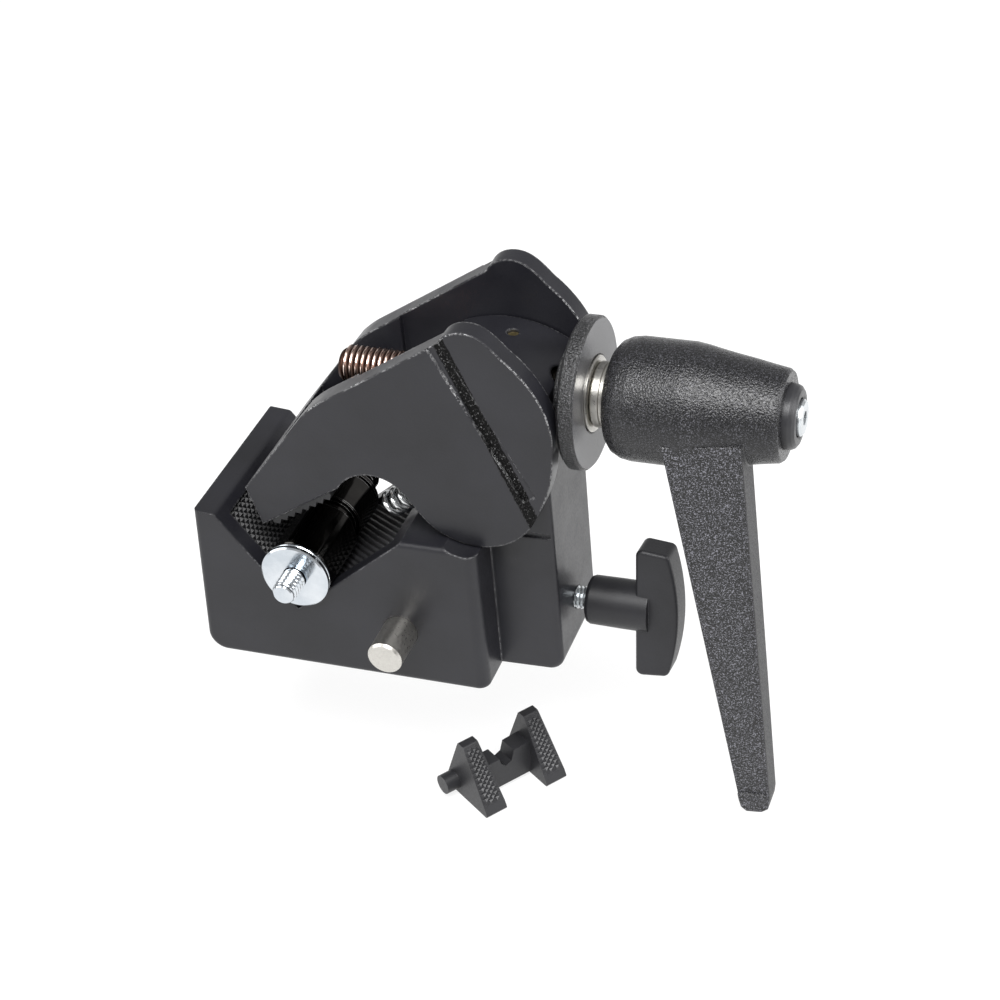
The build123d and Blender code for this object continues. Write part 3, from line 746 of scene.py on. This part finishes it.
def build_wedge():
    """The CAD wedge with a knurled net added on its four sloping faces."""
    mesh, bm = opened_copy("wedge_insert")
    bmesh.ops.dissolve_limit(bm, angle_limit=math.radians(1.0), verts=bm.verts, edges=bm.edges)
    bm.normal_update()
    shallow, steep = WEDGE_SLOPE_LEAN
    slopes = []
    for face in bm.faces:
        if face.calc_area() > WEDGE_SLOPE_AREA and shallow < face.normal.z < steep:
            slopes.append((face.normal.copy(), [v.co.copy() for v in face.verts]))
    verts, faces = [], []
    for normal, outline in slopes:
        ordered = sorted(outline, key=lambda p: p.z)
        low_pair, high_pair = ordered[:2], ordered[-2:]
        across = (low_pair[1] - low_pair[0]).normalized()
        low_pair.sort(key=lambda p: p.dot(across))
        high_pair.sort(key=lambda p: p.dot(across))
        up = (high_pair[0] - low_pair[0]).normalized()
        corners = (
            low_pair[0] + up * WEDGE_FOOT_MARGIN,
            low_pair[1] + up * WEDGE_FOOT_MARGIN,
            high_pair[1] - up * WEDGE_TOP_MARGIN,
            high_pair[0] - up * WEDGE_TOP_MARGIN,
        )
        centre = sum(corners, Vector()) / 4
        lift = normal * WEDGE_FIELD_LIFT
        corners = tuple(centre + (c - centre) * WEDGE_FIELD_SHRINK + lift for c in corners)
        knurl_grid(corners, normal, WEDGE_KNURL_HEIGHT, WEDGE_KNURL_SPACING, verts, faces, net=True)
    add_faces(bm, verts, faces)
    bm.to_mesh(mesh)
    bm.free()
    place_mesh("wedge_insert_knurled", mesh, "wedge_insert", 12.0)


# ---- the kept CAD nodes ------------------------------------------------------------------
def dress_nodes():
    for name, obj in NODES.items():
        slot = SLOT_OF[name]
        obj.data.materials.clear()
        obj.data.materials.append(MATERIALS[slot])


# ---- floor, light and camera ----------------------------------------------------------
def build_stage():
    z = min(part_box(n)[0].z for n in NODES) - FLOOR_GAP
    size = FLOOR_HALF
    mesh = bpy.data.meshes.new("floor")
    corners = [(-size, -size, z), (size, -size, z), (size, size, z), (-size, size, z)]
    mesh.from_pydata(corners, [], [(0, 1, 2, 3)])
    floor = bpy.data.objects.new("floor", mesh)
    bpy.context.scene.collection.objects.link(floor)
    g = Graph("floor_white")
    g.feed("Base Color", FLOOR_TONE)
    g.feed("Emission Color", (1.0, 1.0, 1.0))
    g.feed("Emission Strength", FLOOR_GLOW)
    g.feed("Roughness", FLOOR_ROUGH)
    g.feed("Specular IOR Level", FLOOR_GLOSS)
    mesh.materials.append(g.material)


def area_light(name, place, size, power):
    light = bpy.data.lights.new(name, "AREA")
    light.shape = "RECTANGLE"
    light.size, light.size_y = size
    light.energy = power
    obj = bpy.data.objects.new(name, light)
    bpy.context.scene.collection.objects.link(obj)
    obj.location = place
    aim = Vector(LIGHT_TARGET) - Vector(place)
    obj.rotation_euler = aim.to_track_quat("-Z", "Y").to_euler()


def build_light():
    world = bpy.data.worlds.new("studio")
    bpy.context.scene.world = world
    world.use_nodes = True
    background = world.node_tree.nodes["Background"]
    background.inputs["Color"].default_value = (1.0, 1.0, 1.0, 1.0)
    background.inputs["Strength"].default_value = WORLD_STRENGTH
    for light in LIGHTS:
        area_light(*light)
    bpy.context.scene.view_settings.view_transform = "Standard"


def build_camera():
    turn = math.radians(CAMERA_AZIMUTH)
    lift = math.radians(CAMERA_ELEVATION)
    roll = math.radians(CAMERA_ROLL)
    level = Vector((math.sin(turn), -math.cos(turn), 0.0))
    back = level * math.cos(lift) + Vector((0.0, 0.0, math.sin(lift)))
    right = Vector((math.cos(turn), math.sin(turn), 0.0))
    up = back.cross(right)
    cam_x = right * math.cos(roll) + up * math.sin(roll)
    cam_y = up * math.cos(roll) - right * math.sin(roll)
    data = bpy.data.cameras.new("camera")
    data.lens = CAMERA_LENS
    data.sensor_width = CAMERA_SENSOR
    data.clip_start = CAMERA_NEAR
    camera = bpy.data.objects.new("camera", data)
    bpy.context.scene.collection.objects.link(camera)
    place = Matrix.Translation(Vector(CAMERA_TARGET) + back * CAMERA_DISTANCE)
    camera.matrix_world = place @ Matrix((cam_x, cam_y, back)).transposed().to_4x4()
    bpy.context.scene.camera = camera


MATERIALS = make_materials()
dress_nodes()
build_main_screw()
build_knob_screw()
build_stud()
for pad in ("fixed_jaw_pad_left", "fixed_jaw_pad_right"):
    build_pad(pad)
build_wedge()
build_stage()
build_light()
build_camera()
